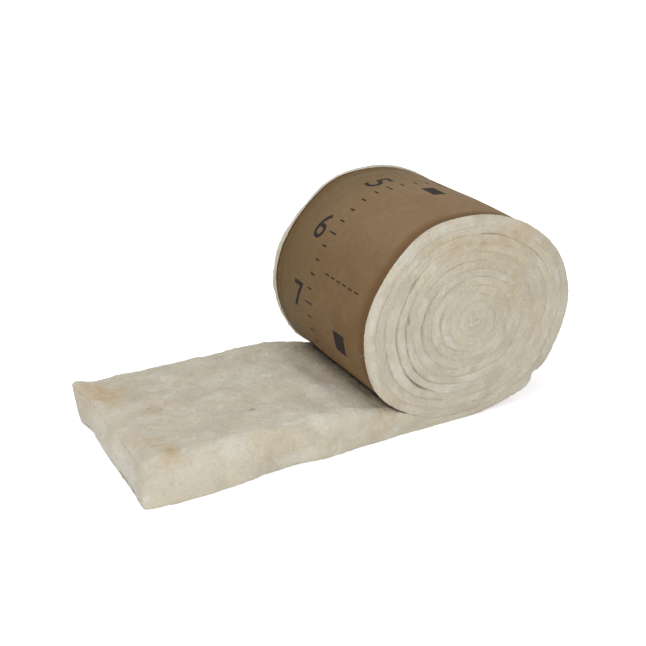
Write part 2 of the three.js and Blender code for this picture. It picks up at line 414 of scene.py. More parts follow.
def tailStations(angles, spiral, nip):
    # place along X, height, how far risen, and how far rounded off at the free end, for every row.
    # At a distance d from the nip it has risen (1 - lip) sin(d / recovery) + lip (1 - exp(-d / lipReach)),
    # and in the slit it follows the turn over it, a gap below
    steps = winding["stepsPerTurn"]
    theta = np.linspace(0, math.pi / 2, wool["endRows"])
    cap = tailEndX + wool["endRounding"] * (1 - np.cos(theta))
    openX = np.concatenate([cap, np.linspace(cap[-1], spiral[nip, 0], wool["openRows"])[1:-1]])
    slit = np.arange(nip, steps)
    gap = (wool["slitGap"] + wool["nipGap"] * bell(slit, nip, 5)) * np.minimum(1, (steps - slit) / 6)
    gap = gap[:, None]
    crest = spiral[slit] + outwardNormal(angles[slit]) * gap
    nipX, nipZ = spiral[nip, 0], crest[0, 1]
    fromNip = nipX - openX
    risenOpen = np.sin(np.clip(fromNip / wool["recovery"], 0, 1) * math.pi / 2)
    risenOpen = (1 - wool["lip"]) * risenOpen + wool["lip"] * (1 - np.exp(-fromNip / wool["lipReach"]))
    x = np.concatenate([openX, spiral[slit, 0]])
    height = np.concatenate([nipZ + (wool["loft"] - nipZ) * risenOpen, crest[:, 1]])
    risen = np.concatenate([risenOpen, np.zeros(len(slit))])
    loss = np.zeros(len(x))
    loss[: wool["endRows"]] = 1 - np.sin(theta)
    return x, height, risen, loss


# the skin's patches: the tail's sides, the winding's ends, the face under the paper, the tail's top and end
tailSide, woundEnd, outerSide, tailTop, cutEnd = range(1, 6)


def addGrid(skin, grid, grain, part, sunk=0):
    # adds a patch, a grid of points, to the skin and gives its vertex numbers
    flat = grid.reshape(-1, 3)
    start = skin["count"]
    skin["points"].append(flat)
    skin["grain"].append(np.broadcast_to(grain, grid.shape).reshape(-1, 3))
    skin["part"].append(np.full(len(flat), part))
    skin["sunk"].append(np.broadcast_to(sunk, grid.shape[:2]).ravel())
    skin["count"] = start + len(flat)
    return np.arange(start, skin["count"]).reshape(grid.shape[:2])


def woolEdge(skin, side, seed, columns, stations, angles, spiral, arc):
    # one cut edge of the blanket, rows along the strip and columns through its thickness. On the tail:
    # the rounded side's inset and height, blended with the squeezed turn's as risen^0.4. On the winding:
    # outer seam + (inner seam - outer seam) t, set behind the roll's end by the turn's profile
    steps = winding["stepsPerTurn"]
    rows = math.ceil(winding["turns"]) * steps + 1
    x, height, risen, loss = (values[:, None] for values in stations)
    t = (1 - np.cos(np.linspace(0, math.pi, columns + 1)))[None, :] / 2

    which = 0 if side < 0 else 1
    foot = np.minimum(wool["footRounding"][which], height * 0.3)
    shoulder = np.minimum(wool["topRounding"][which], height * 0.45)
    insetRound, riseRound = roundedSide(t, height, foot, shoulder)
    insetSqueezed = turnProfile(t, np.zeros(1), side, seed)[0]
    inset = insetSqueezed + (insetRound - insetSqueezed) * risen**0.4
    rise = height * t + (riseRound - height * t) * risen**0.4
    rise = wool["endFoot"] * loss + rise * (1 - (wool["endRounding"] + wool["endFoot"]) * loss / height)
    inset = inset + wool["endRounding"] * loss
    tail = np.stack([x + 0 * t, side * (halfWidth - inset), rise], -1)
    tailGrain = np.stack([x - rollX + 0 * t, height * t, tail[..., 1]], -1)

    outer, inner = spiral[:rows, None, :], spiral[steps : steps + rows, None, :]
    place = outer + (inner - outer) * t[..., None]
    lifted = flare(angles[:rows], side)[:, None] * (1 - smooth(t, 0, 0.75))
    place = place + outwardNormal(angles[:rows])[:, None, :] * lifted[..., None]
    behind, sunk = turnProfile(np.repeat(t, rows, 0), angles[:rows], side, seed)
    wound = np.stack([place[..., 0], side * (halfWidth - behind), place[..., 1]], -1)
    through = wool["grainThrough"] * t + wool["grainPerTurn"] * angles[:rows, None] / fullTurn
    woundGrain = np.stack([arc[:rows, None] + 0 * t, through, wound[..., 1]], -1)

    tailIds = addGrid(skin, tail, tailGrain, tailSide)
    woundIds = addGrid(skin, wound, woundGrain, woundEnd, sunk)
    # a turn's inner column is the next turn's outer one, and the eye is one point
    eye = woundIds[-1, 0]
    woundIds[woundShare(angles[:rows]) <= 0] = eye
    woundIds[:, -1] = np.concatenate([woundIds[steps:, 0], np.full(steps, eye)])
    return tail, wound, tailIds, woundIds


def outerFace(line, outward, nearY, farY, lifts, edge):
    # rows across the blanket's outer face: line + outward normal times a height, which is a soft rim on
    # each side, lying over the paper's edge, and below nothing where the wool is hidden under the paper
    share, raised = np.array(wool["rimProfile"], float).T
    under = np.full((len(line), 1), wool["underPaper"])

    def rim(y, side, lift, ragged):
        edgeY = side * (paperEdge[side] - wool["rimOverlap"] - ragged[:, None])
        rows = y[:, None] + (edgeY - y[:, None]) * share
        inner = np.concatenate([edgeY - side * inset for inset in wool["underRows"]], 1)
        up = raised * lift[:, None] + smooth(lift, 0, 0.002)[:, None] * [0, 0, 0, wool["rimFoot"]]
        return np.concatenate([rows, inner], 1), np.concatenate([up, under, under], 1)

    nearSide, nearUp = rim(nearY, -1, lifts[0], edge[0])
    farSide, farUp = rim(farY, 1, lifts[1], edge[1])
    across = np.linspace(0, 1, 14)[1:-1]
    middle = nearSide[:, -1:] * (1 - across) + farSide[:, -1:] * across
    y = np.concatenate([nearSide, middle, farSide[:, ::-1]], 1)
    up = np.concatenate([nearUp, under + 0 * middle, farUp[:, ::-1]], 1)
    return np.stack([line[:, 0:1] + outward[:, 0:1] * up, y, line[:, 1:2] + outward[:, 1:2] * up], -1)


def woolSkin():
    # joins the patches into one skin: both edges, the outer face, the tail's top and its cut end
    steps = winding["stepsPerTurn"]
    angles = np.arange((math.ceil(winding["turns"]) + 1) * steps + 1) * fullTurn / steps
    spiral = windingPoint(angles)
    nip = round(steps * (360 - winding["nipAngle"]) / 360)
    stations = tailStations(angles, spiral, nip)
    arc = np.concatenate([[0], np.cumsum(np.linalg.norm(np.diff(spiral, axis=0), axis=1))])
    x = stations[0]
    skin = {"points": [], "grain": [], "part": [], "sunk": [], "count": 0}
    nearColumns, farColumns = wool["acrossTurn"]
    path = stations, angles, spiral, arc
    nearTail, nearWound, nearTailIds, nearIds = woolEdge(skin, -1, 21, nearColumns, *path)
    farTail, farWound, farTailIds, farIds = woolEdge(skin, 1, 42, farColumns, *path)

    # the outer face, under the tail and then once round the roll
    turn = np.arange(1, steps + 1)
    line = np.concatenate([np.stack([x, nearTail[:, 0, 2]], 1), [[rollX, 0]], spiral[turn]])
    outward = np.concatenate([np.tile([0.0, -1.0], (len(x) + 1, 1)), outwardNormal(angles[turn])])
    nearY = np.concatenate([nearTail[:, 0, 1], nearWound[:1, 0, 1], nearWound[turn, 0, 1]])
    farY = np.concatenate([farTail[:, 0, 1], farWound[:1, 0, 1], farWound[turn, 0, 1]])
    along = np.concatenate([x - rollX, [0], arc[turn]])
    through = np.concatenate([0 * x, [0], wool["grainPerTurn"] * angles[turn] / fullTurn])
    lifts = [np.concatenate([np.zeros(len(x) + 1), flare(angles[turn], side)]) for side in (-1, 1)]
    slow, quick = wool["rimRagged"]
    edge = [
        slow * (1 + ripple(along, slowSeed, 12, 40, 200))
        + quick * np.clip(ripple(along, quickSeed, 30, 200, 900), 0, 2)
        for slowSeed, quickSeed in ((78, 81), (79, 82))
    ]
    face = outerFace(line, outward, nearY, farY, lifts, edge)
    faceGrain = np.stack(np.broadcast_arrays(along[:, None], through[:, None], face[..., 1]), -1)
    faceIds = addGrid(skin, face, faceGrain, outerSide)
    faceIds[:, 0] = np.concatenate([nearTailIds[:, 0], nearIds[:1, 0], nearIds[turn, 0]])
    faceIds[:, -1] = np.concatenate([farTailIds[:, 0], farIds[:1, 0], farIds[turn, 0]])

    # the tail's top, from the free end into the slit
    u = np.linspace(0, 1, wool["acrossTail"] + 1)[None, :, None]
    top = nearTail[:, -1][:, None] * (1 - u) + farTail[:, -1][:, None] * u
    topGrain = np.stack(np.broadcast_arrays(top[..., 0] - rollX, stations[1][:, None], top[..., 1]), -1)
    topIds = addGrid(skin, top, topGrain, tailTop)
    topIds[:, 0], topIds[:, -1] = nearTailIds[:, -1], farTailIds[:, -1]

    # the cut end of the tail, standing out in its middle by sin^2; both its sides get the same columns
    even = np.linspace(0, 1, nearColumns + 1)
    farEven = np.linspace(0, 1, farColumns + 1)
    farEnd = np.stack([np.interp(even, farEven, farTail[0][:, i]) for i in range(3)], -1)
    end = nearTail[0][:, None] * (1 - u) + farEnd[:, None] * u
    t = even[:, None]
    end[..., 0] -= wool["endSwell"] * np.sin(t * math.pi) ** 2 * (1 - np.abs(2 * u[..., 0] - 1) ** 14)
    endIds = addGrid(skin, end, end[..., [0, 2, 1]] - [rollX, 0, 0], cutEnd)
    endIds[:, 0] = nearTailIds[0]
    endIds[0], endIds[-1] = -1, topIds[0]

    tris = [
        quads(np.concatenate([nearTailIds, nearIds])),
        quads(np.concatenate([farTailIds, farIds])[::-1]),
        quads(faceIds[::-1]),
        quads(topIds),
        quads(endIds[1:, :-1]),
        zipRows(endIds[1:, -2], farTailIds[0, 1:])[:, ::-1],
        zipRows(faceIds[0], np.append(endIds[1, :-1], farTailIds[0, 1]), face[0, :, 1], end[1, :, 1]),
        zipRows(faceIds[-1], topIds[-1], face[-1, :, 1], top[-1, :, 1])[:, ::-1],
    ]
    skin = {key: np.concatenate(skin[key]) for key in ("points", "grain", "part", "sunk")}
    return skin, cleanTriangles(np.concatenate(tris))


def blots(points, spots):
    # how strongly each point is stained: the sum of bells round the spots' middles
    total = np.zeros(len(points))
    for place, reach, strength in spots:
        total += strength * np.exp(-(((points - np.array(place) - (rollX, 0, 0)) / reach) ** 2).sum(1))
    return np.clip(total, 0, 1)


# where the wool is coloured: place from the roll's lowest line, reach, strength
stains = {
    # binder, apart from the broad strip along the nip
    "tan": (
        ((-0.648, 0.122, 0.076), (0.028, 0.042, 0.05), 0.8),
        ((-0.634, 0.092, 0.076), (0.034, 0.034, 0.05), 0.55),
        ((-0.600, 0.105, 0.076), (0.060, 0.050, 0.05), 0.2),
        # painted shade along the nip, tinted warm like the paper's bounce light
        ((-0.188, 0.000, 0.065), (0.045, 0.300, 0.05), 0.75),
        ((-0.566, 0.023, 0.076), (0.022, 0.014, 0.04), 0.9),
        ((-0.590, 0.004, 0.076), (0.030, 0.014, 0.04), 0.7),
        ((-0.655, -0.020, 0.072), (0.020, 0.030, 0.04), 0.4),
        ((-0.644, -0.080, 0.076), (0.012, 0.014, 0.04), 0.8),
        ((-0.634, -0.100, 0.076), (0.012, 0.016, 0.04), 0.9),
        ((-0.622, -0.118, 0.076), (0.012, 0.014, 0.04), 0.8),
        ((-0.610, -0.155, 0.074), (0.014, 0.024, 0.04), 0.9),
        ((-0.625, -0.178, 0.066), (0.012, 0.016, 0.04), 0.7),
        ((-0.437, 0.094, 0.076), (0.025, 0.014, 0.04), 0.5),
        ((-0.292, 0.138, 0.076), (0.022, 0.012, 0.04), 0.8),
        ((-0.435, -0.190, 0.060), (0.070, 0.020, 0.03), 0.4),
        ((-0.070, -0.190, 0.390), (0.070, 0.020, 0.030), 0.35),
        ((0.040, -0.190, 0.370), (0.120, 0.020, 0.035), 0.55),
        ((0.096, -0.190, 0.239), (0.025, 0.020, 0.022), 0.45),
        ((0.102, -0.190, 0.305), (0.020, 0.020, 0.030), 0.3),
        ((0.150, -0.190, 0.180), (0.030, 0.020, 0.060), 0.3),
        ((0.110, -0.190, 0.310), (0.110, 0.020, 0.080), 0.22),
        ((-0.668, 0.160, 0.070), (0.020, 0.034, 0.050), 0.4),
        ((-0.193, -0.190, 0.297), (0.014, 0.020, 0.025), 0.35),
        ((-0.150, 0.190, 0.260), (0.040, 0.020, 0.040), 0.5),
        ((0.080, 0.190, 0.140), (0.040, 0.020, 0.040), 0.5),
    ),
    # whiter wool, and painted light where the tail's cut end and its top beside the nip lie in shade
    "whiterWoolAndPaintedLight": (
        ((-0.690, -0.040, 0.030), (0.030, 0.140, 0.045), 0.80),
        ((-0.680, -0.170, 0.040), (0.040, 0.050, 0.045), 0.70),
        ((-0.250, 0.185, 0.250), (0.100, 0.012, 0.120), 0.7),
        ((-0.505, -0.182, 0.070), (0.045, 0.035, 0.04), 0.8),
        ((-0.600, -0.190, 0.050), (0.035, 0.030, 0.03), 0.7),
        ((-0.628, 0.010, 0.076), (0.035, 0.035, 0.04), 0.6),
        ((-0.340, 0.065, 0.076), (0.090, 0.050, 0.05), 0.7),
        ((-0.235, -0.110, 0.076), (0.045, 0.090, 0.05), 0.9),
        ((-0.240, 0.040, 0.076), (0.040, 0.060, 0.05), 0.7),
        ((-0.150, -0.190, 0.150), (0.030, 0.03, 0.080), 0.8),
        ((-0.160, -0.190, 0.385), (0.060, 0.03, 0.035), 0.9),
        ((-0.205, -0.190, 0.260), (0.020, 0.03, 0.080), 0.7),
        ((-0.070, -0.190, 0.080), (0.060, 0.03, 0.020), 0.7),
        ((0.000, -0.190, 0.405), (0.080, 0.03, 0.020), 0.6),
        ((-0.330, -0.160, 0.070), (0.070, 0.040, 0.04), 0.7),
    ),
    # greyish brown smudges, above all along the nip
    "smudge": (
        ((-0.176, 0.140, 0.060), (0.014, 0.040, 0.05), 0.6),
        ((-0.176, 0.060, 0.060), (0.013, 0.030, 0.05), 0.5),
        ((-0.180, -0.005, 0.060), (0.012, 0.035, 0.05), 0.6),
        ((-0.180, -0.070, 0.062), (0.013, 0.026, 0.05), 0.8),
        ((-0.180, -0.110, 0.062), (0.010, 0.018, 0.05), 0.8),
        ((-0.190, -0.160, 0.065), (0.006, 0.030, 0.05), 0.5),
        ((-0.205, 0.010, 0.070), (0.012, 0.016, 0.05), 0.4),
        ((-0.208, 0.060, 0.070), (0.014, 0.030, 0.05), 0.25),
        ((-0.210, 0.125, 0.070), (0.020, 0.035, 0.05), 0.40),
        ((-0.415, -0.078, 0.076), (0.008, 0.004, 0.04), 0.8),
        ((-0.559, 0.031, 0.076), (0.004, 0.003, 0.04), 0.6),
        ((-0.566, 0.003, 0.076), (0.004, 0.004, 0.04), 0.8),
        ((-0.583, -0.001, 0.076), (0.004, 0.003, 0.04), 0.5),
        ((-0.588, 0.019, 0.076), (0.006, 0.004, 0.04), 0.4),
        ((-0.556, 0.092, 0.076), (0.026, 0.010, 0.04), 0.30),
        ((-0.610, -0.152, 0.074), (0.005, 0.012, 0.04), 0.4),
        ((0.018, -0.190, 0.109), (0.014, 0.020, 0.008), 0.5),
        ((-0.139, -0.190, 0.242), (0.004, 0.020, 0.014), 0.6),
    ),
}

# where the tail's top is painted dark as shade, in the crevice under the outer turn
pinch = {
    "over": (272, 322),  # degrees from the lowest line between which the outer turn hangs over the tail
    "from": 0.150,  # how far from the roll's lowest line it starts
    "dark": 0.002,  # full up to this gap, and gone from the next one
    "clear": 0.011,
    "ragged": 0.0014,
    "sides": (0.180, 0.188),  # fading out between these distances from the middle
}


def creviceShade(points, part):
    # painted crevice shade: 1 where the tail's top meets the turn over it, 0 a little below: from that turn's
    # height less its own
    over = windingPoint(np.radians(np.arange(*pinch["over"])))
    gap = np.interp(points[:, 0], over[:, 0], over[:, 1], left=1) - points[:, 2]
    gap = gap + pinch["ragged"] * cloud(points, (0.006, 0.007, 0.01), 55)
    beside = ((part == tailTop) | (part == tailSide)) & (points[:, 0] < rollX - pinch["from"])
    inner = 1 - smooth(np.abs(points[:, 1]), *pinch["sides"])
    return np.where(beside, (1 - smooth(gap, pinch["dark"], pinch["clear"])) * inner, 0)


# the wool's uneven surface, as lattice noise: size of a cell, height, seed
relief = {
    "swells": (((0.13, 0.09, 0.09), 0.0026, 9), ((0.050, 0.034, 0.04), 0.0022, 10)),
    "tufts": (((0.020, 0.015, 0.016), 0.0008, 12), ((0.009, 0.008, 0.008), 0.0006, 14)),
    "creases": (((0.085, 0.011, 0.03), 1, 13),),
    "creaseHeight": (0.0002, 0.0010),  # everywhere, and how much more close to the nip
    "lumps": (((0.060, 0.014, 0.03), 0.0011, 5),),
    "dimples": (((0.011, 0.011, 0.011), 0.0009, 6),),
    "layers": (((0.045, 0.0040, 0.05), 0.0006, 7),),
    "nap": (((0.0052, 0.0052, 0.0052), 0.0007, 8),),
    "lowest": 0.0004,  # over the floor
}


def reliefAt(points, key):
    # the sum of a relief's lattice noises
    return sum(cloud(points, cell, seed) * size for cell, size, seed in relief[key])


def woolHeight(points, grain, part):
    # how far the wool stands out at each point: nap everywhere, swells, creases and tufts on the tail,
    # lumps and layers on the cut faces
    fromRoll = rollX - points[:, 0]
    tail = np.where(part == woundEnd, 0, smooth(fromRoll, 0.13, 0.24))
    everywhere, more = relief["creaseHeight"]
    creases = reliefAt(points, "creases") * (everywhere + more * bell(fromRoll, 0.19, 0.05))
    soft = reliefAt(points, "swells") + creases + reliefAt(points, "tufts")
    side = np.where(part == tailSide, smooth(points[:, 0] - tailEndX, 0.004, 0.03), 0)
    cut = np.where(part == woundEnd, 1, side)
    lumps = reliefAt(grain, "lumps") + reliefAt(points, "dimples")
    height = cut * (lumps + reliefAt(grain, "layers")) + reliefAt(points, "nap")
    return height + tail * soft * np.where(part == outerSide, 0, 1)


def shapeWool():
    # the skin, moved by the listed pushes, plus its normal times the wool's uneven height, kept above the
    # floor
    skin, tris = woolSkin()
    grain, part, plainY = skin["grain"], skin["part"], skin["points"][:, 1]
    points = pushed(skin["points"], winding["leans"] + wool["pushes"])
    fromRoll = rollX - points[:, 0]
    pastPaper = np.abs(plainY) - np.where(plainY < 0, paperEdge[-1], paperEdge[1])
    shown = np.where(part == outerSide, smooth(pastPaper, -0.0015, 0.002), 1)
    shown = np.where((part == tailTop) & (fromRoll < pinch["from"]), 0, shown)
    height = woolHeight(points, grain, part) * shown
    points = points + vertexNormals(points, tris) * height[:, None]
    points[:, 2] = np.maximum(points[:, 2], relief["lowest"])
    spots = {key: blots(points, values) for key, values in stains.items()}
    # painted shade in the crevice at the nip
    spots["creviceShade"] = creviceShade(skin["points"], part)
    # how much of the layering shows: all of it on the winding, some on the tail's sides and end, none on top
    beside = 1 - 0.65 * smooth(fromRoll, 0.05, 0.20)
    spots["layered"] = np.select([part == woundEnd, part == tailSide, part == cutEnd], [1, beside, 0.35], 0)
    piece = makePiece("wool_blanket", points, tris, {"grain": grain, "sunk": skin["sunk"], **spots})
    return piece, points, tris, shown * (part != outerSide)


print("winding the wool")
woolPiece, woolPoints, woolTris, woolShown = shapeWool()
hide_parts("glass_wool_blanket")

fibres = {
    "count": 7000,
    "length": (0.006, 0.024),
    "radius": 0.00016,
    "stand": 0.0016,  # how far the longest rise stands off the wool
    "rooted": 0.0003,  # how deep each one starts in it
    "bend": 0.5,  # sideways, as a share of the length
    "clearOfFloor": 0.004,
    "lowest": 0.0003,
    "seed": 5,
    # none over the paper: past this share of the roll's radius, above this height, this near the middle
    "paperRadius": 0.93,
    "paperHeight": 0.088,
    "paperY": 0.187,
}


def fibreShape():
    # one fibre's triangles: a lid, a three-sided tube through three rings, and a point
    sides = [(i, (i + 1) % 3) for i in range(3)]
    tris = [(0, 2, 1)]
    for base in (0, 3):
        for i, j in sides:
            tris += [(base + i, base + j, base + 3 + j), (base + i, base + 3 + j, base + 3 + i)]
    return np.array(tris + [(6 + i, 6 + j, 9) for i, j in sides])


def looseFibres():
    # each fibre: root + direction s + normal 1.6 rise s (1.6 - s) + sideways bend s^2, tapering to a point
    rng = np.random.default_rng(fibres["seed"])
    normals = vertexNormals(woolPoints, woolTris)
    corner = woolPoints[woolTris]
    area = np.linalg.norm(np.cross(corner[:, 1] - corner[:, 0], corner[:, 2] - corner[:, 0]), axis=1)
    clumps = np.clip(0.25 + cloud(corner[:, 0], (0.02, 0.02, 0.02), 61), 0.05, None)
    weight = area * clumps * woolShown[woolTris[:, 0]] * (corner[:, 0, 2] > fibres["clearOfFloor"])
    chosen = woolTris[rng.choice(len(woolTris), fibres["count"], p=weight / weight.sum()), 0]
    root, normal = woolPoints[chosen], normals[chosen]
    along = rng.normal(size=root.shape) * (1.0, 0.6, 0.6)
    along -= normal * (along * normal).sum(1, keepdims=True)
    along /= np.linalg.norm(along, axis=1, keepdims=True)
    aside = np.cross(normal, along)
    low, high = fibres["length"]
    length = (low + (high - low) * rng.random(len(root)) ** 2)[:, None, None]
    bend = rng.uniform(-fibres["bend"], fibres["bend"], len(root))[:, None, None]
    rise = rng.uniform(0.2, 1.0, len(root))[:, None, None] * fibres["stand"]
    s = np.array([0, 0.35, 0.7, 1.0])[None, :, None]
    middle = root[:, None] + along[:, None] * s * length + aside[:, None] * bend * length * s**2
    middle += normal[:, None] * (rise * s * (1.6 - s) * 1.6 - fibres["rooted"])
    inside = ((middle > woolPoints.min(0)) & (middle < woolPoints.max(0))).all((1, 2))
    x, y, z = np.moveaxis(middle, -1, 0)
    fromAxis = np.hypot((x - rollX) / winding["halfSpan"], z / winding["halfHeight"] - 1)
    overPaper = (fromAxis > fibres["paperRadius"]) & (z > fibres["paperHeight"])
    overPaper = overPaper & (np.abs(y) < fibres["paperY"])
    inside = inside & ~overPaper.any(1)
    root, normal, aside, middle = root[inside], normal[inside], aside[inside], middle[inside]
    turn = (np.arange(3) * fullTurn / 3)[None, None, :, None]
    ring = np.cos(turn) * aside[:, None, None] + np.sin(turn) * normal[:, None, None]
    radius = fibres["radius"] * (1 - 0.5 * s[:, :3])[..., None]
    rings = middle[:, :3, None] + ring * radius
    points = np.concatenate([rings.reshape(len(root), 9, 3), middle[:, 3:]], 1)
    tris = fibreShape() + (np.arange(len(root)) * points.shape[1])[:, None, None]
    points = points.reshape(-1, 3)
    points[:, 2] = np.maximum(points[:, 2], fibres["lowest"])
    return makePiece("loose_fibres", points, tris.reshape(-1, 3))


print("laying loose fibres")
fibrePiece = looseFibres()

facing = {
    "thickness": 0.0006,
    "flange": 0.025,  # width of the folded strip along each edge
    "foldStep": 0.0008,  # the width over which a flange's second layer ends
    "tuck": 20,  # degrees back from the lowest line to where it ends in the slit
    "free": (0.08, 0.20),  # past the roll's lowest line it comes free of the wool between these lengths
    "held": (0.17, 0.10),  # and before its end it is held again
    "cockle": 0.0009,
    "cockleCells": ((0.055, 0.10, 1), (0.02, 0.045, 1)),
    "cockleInset": (-0.004, 0.03),  # in from the paper's edge: where cockles start, and where they are full
    "barrel": 0.0026,  # how much fuller the roll is in its middle than at its ends
    "edgeStray": 0.0008,  # how far the paper's edge strays from a straight line
    "strayReach": 0.012,  # and how far into the paper that is felt
    "edgeCell": (0.035, 0.4, 1),
    "tailRows": 39,
    "rollRows": 360,
    "columns": 72,
}


def facingRoute():
    # the line that the facing follows: under the tail, then round the outer turn into the slit
    tailLine = np.linspace(facingLow.x, rollX, facing["tailRows"] + 1)[:-1]
    angle = np.linspace(0, math.radians(360 - facing["tuck"]), facing["rollRows"])
    line = np.concatenate([np.stack([tailLine, 0 * tailLine], -1), windingPoint(angle)])
    outward = np.concatenate([np.tile([0.0, -1.0], (len(tailLine), 1)), outwardNormal(angle)])
    arc = np.concatenate([[0], np.cumsum(np.linalg.norm(np.diff(line, axis=0), axis=1))])
    return line, outward, arc, arc[len(tailLine)]


routeLine, routeOutward, routeArc, arcAtRoll = facingRoute()


def facingSurface(arc, y):
    # the paper's outer face at a distance along it and a place across it, with its outward normal: the
    # route, plus barrel (1 - (y / half)^2) and cockles where it is free, less a thickness inside the flanges
    line = np.stack([np.interp(arc, routeArc, routeLine[:, i]) for i in (0, 1)], -1)
    outward = np.stack([np.interp(arc, routeArc, routeOutward[:, i]) for i in (0, 1)], -1)
    outward /= np.linalg.norm(outward, axis=-1, keepdims=True)
    free = smooth(arc, *(arcAtRoll + length for length in facing["free"]))
    free = free * (1 - smooth(arc, *(routeArc[-1] - length for length in facing["held"])))
    place = np.stack([arc, y, 0 * arc], -1).reshape(-1, 3)
    wide, narrow = facing["cockleCells"]
    waves = cloud(place, wide, 31) + 0.5 * cloud(place, narrow, 32)
    toEdge = np.where(y < 0, y + paperEdge[-1], paperEdge[1] - y)
    inside = smooth(toEdge, facing["flange"], facing["flange"] + facing["foldStep"])
    barrel = facing["barrel"] * np.clip(1 - (y / halfFacing) ** 2, 0, 1)
    cockle = facing["cockle"] * (waves.reshape(arc.shape) + 0.6) * smooth(toEdge, *facing["cockleInset"])
    raised = (cockle + barrel) * free - facing["thickness"] * inside
    x = line[..., 0] + outward[..., 0] * raised
    z = line[..., 1] + outward[..., 1] * raised
    normal = np.stack([outward[..., 0], 0 * y, outward[..., 1]], -1)
    return pushed(np.stack([x, y, z], -1), winding["leans"]), normal


def shapeFacing():
    # the outer face and its back, one or two thicknesses in, joined by walls round their edges
    near, far = paperEdge[-1], paperEdge[1]
    flange = np.linspace(facing["flange"], 0, 8)
    middle = np.linspace(facing["flange"] - near + 0.001, far - facing["flange"] - 0.001, facing["columns"])
    columns = np.concatenate([flange[::-1] - near, middle, far - flange])
    rows = np.concatenate([routeArc[: facing["tailRows"] : 3], routeArc[facing["tailRows"] :]])
    arcs, ys = np.meshgrid(rows, columns, indexing="ij")
    outer, normal = facingSurface(arcs, ys)
    along = np.stack([arcs, np.sign(ys), 0 * arcs], -1).reshape(-1, 3)
    stray = facing["edgeStray"] * cloud(along, facing["edgeCell"], 33).reshape(arcs.shape)
    toEdge = np.minimum(ys + near, far - ys)
    outer[..., 1] += stray * (1 - smooth(toEdge, 0, facing["strayReach"]))
    depth = np.where(toEdge < facing["flange"] + 1e-6, 2 * facing["thickness"], facing["thickness"])
    shift = (pushed(outer, wool["pushes"]) - outer) * (1, 1, 0)  # the free end goes with the wool
    outer = outer + shift * (arcs < arcAtRoll)[..., None]
    back = outer - normal * depth[..., None]
    ids = np.arange(arcs.size).reshape(arcs.shape)

    def wall(line):
        return quads(np.stack([line, line + arcs.size], 0))

    tris = [quads(ids[::-1]), quads(ids + arcs.size)]
    tris += [wall(ids[:, 0][::-1]), wall(ids[:, -1]), wall(ids[0]), wall(ids[-1][::-1])]
    points = np.concatenate([outer.reshape(-1, 3), back.reshape(-1, 3)])
    uv = np.tile(np.stack([ys, arcs], -1).reshape(-1, 2), (2, 1))
    return makePiece("paper_facing", points, np.concatenate(tris), uv=uv)


print("wrapping the facing")
facingPiece = shapeFacing()
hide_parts("kraft_facing")

# the print on the paper is plain numbers like a rule's, ticks, a cutting line and two bare blocks
ink = {
    "numberHeight": 0.056,
    "digitShare": 0.7,  # a digit's height as a share of the font's size
    "boldness": 0.0006,  # past this the 3 and the 8 would cross themselves
    "numberMiddle": 0.075,  # across the facing, from its middle towards the far side
    "numberStep": 0.150,
    "firstNumber": 0.165,  # along the facing from the roll's lowest line
    "numbers": 8,
    "pieces": 0.004,  # ink is cut into pieces no longer than this, so that it bends with the roll
    "tickMiddle": 0.030,
    "ticks": (0.105, 1.26, 0.030),  # the first one, where they end, and the step
    "tickLengths": (0.015, 0.026),  # every fifth is long
    "tickWidth": 0.0036,
    "cutLine": 0.990,
    "dashes": (-0.128, 0.0, 0.0215),
    "dashSize": (0.0030, 0.014),
    "blocks": ((0.700, -0.030, 0.030, 0.046), (1.110, -0.085, 0.045, 0.040)),  # along, across, sizes
    "thickness": 0.00012,
    "merged": 0.00002,  # vertices closer than this become one
}


def printedOn(flat):
    # carries flat marks (along the blanket, across it, height) onto the paper: its face + normal times height
    place, normal = facingSurface(flat[..., 0] + arcAtRoll, flat[..., 1])
    return place + normal * flat[..., 2:3]


def numberMark(text, along, across):
    # a plain number as a thin slab, cut into small pieces
    curve = bpy.data.curves.new("number", "FONT")
    curve.body = text
    curve.size = ink["numberHeight"] / ink["digitShare"]
    curve.extrude = ink["thickness"] * 0.8
    curve.offset = 0 if text == "4" else ink["boldness"]  # the 4's opening fills in when it's offset
    curve.align_x = "CENTER"
    curve.align_y = "CENTER"
    holder = bpy.data.objects.new("number", curve)
    bpy.context.scene.collection.objects.link(holder)
    flat = bmesh.new()
    flat.from_mesh(holder.evaluated_get(bpy.context.evaluated_depsgraph_get()).to_mesh())
    bpy.data.objects.remove(holder)
    bmesh.ops.remove_doubles(flat, verts=flat.verts, dist=ink["merged"])
    reach = 9 * ink["pieces"]  # past a number's every side
    for step in np.arange(-reach, reach + 0.0001, ink["pieces"]):
        for normal in ((1, 0, 0), (0, 1, 0)):
            everything = flat.verts[:] + flat.edges[:] + flat.faces[:]
            cut = {"plane_co": (step, step, 0), "plane_no": normal, "dist": ink["merged"]}
            bmesh.ops.bisect_plane(flat, geom=everything, **cut)
    bmesh.ops.remove_doubles(flat, verts=flat.verts, dist=ink["merged"])
    bmesh.ops.triangulate(flat, faces=flat.faces)
    mesh = bpy.data.meshes.new("number")
    flat.to_mesh(mesh)
    flat.free()
    points = np.empty(3 * len(mesh.vertices))
    mesh.vertices.foreach_get("co", points)
    tris = np.empty(3 * len(mesh.polygons), int)
    mesh.loops.foreach_get("vertex_index", tris)
    bpy.data.meshes.remove(mesh)
    x, y, z = points.reshape(-1, 3).T
    # read from the free end: right is towards the near end, up is back along the blanket
    return printedOn(np.stack([along - y, across - x, z], 1)), tris.reshape(-1, 3)


